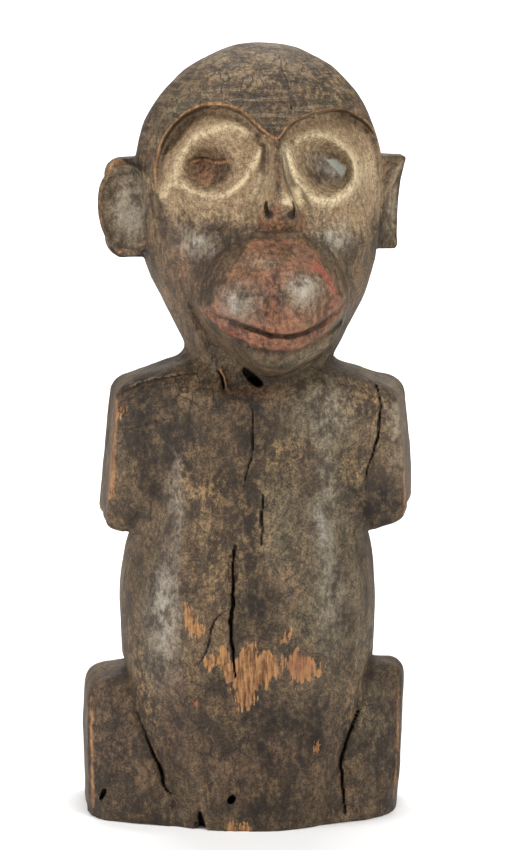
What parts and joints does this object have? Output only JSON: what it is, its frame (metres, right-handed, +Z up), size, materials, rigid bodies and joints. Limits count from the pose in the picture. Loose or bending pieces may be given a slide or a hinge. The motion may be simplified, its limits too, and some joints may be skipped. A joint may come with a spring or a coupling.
{
  "type": "carved wooden monkey figure",
  "caption": "Wooden monkey torso figure cut from one log, with a turned round head, sunken heart-shaped face, swollen muzzle, cupped ears and cut-off limb stubs.",
  "frame": {"origin": "middle of the bounding box, on the flat underside that the figure stands on", "axes": "+Z up along the log, the figure's body faces -Y, +X is to the right of a viewer who faces it"},
  "size_m": [0.226, 0.1846, 0.5195],
  "materials": {
    "patinated_wood": "aged dark brown-grey patina, half gloss on the worn high places, pale sandy face, red-brown lips, bare orange-tan wood at chips and worn edges"
  },
  "bodies": {
    "root": {"monkey_figure": "patinated_wood"}
  },
  "joints": []
}
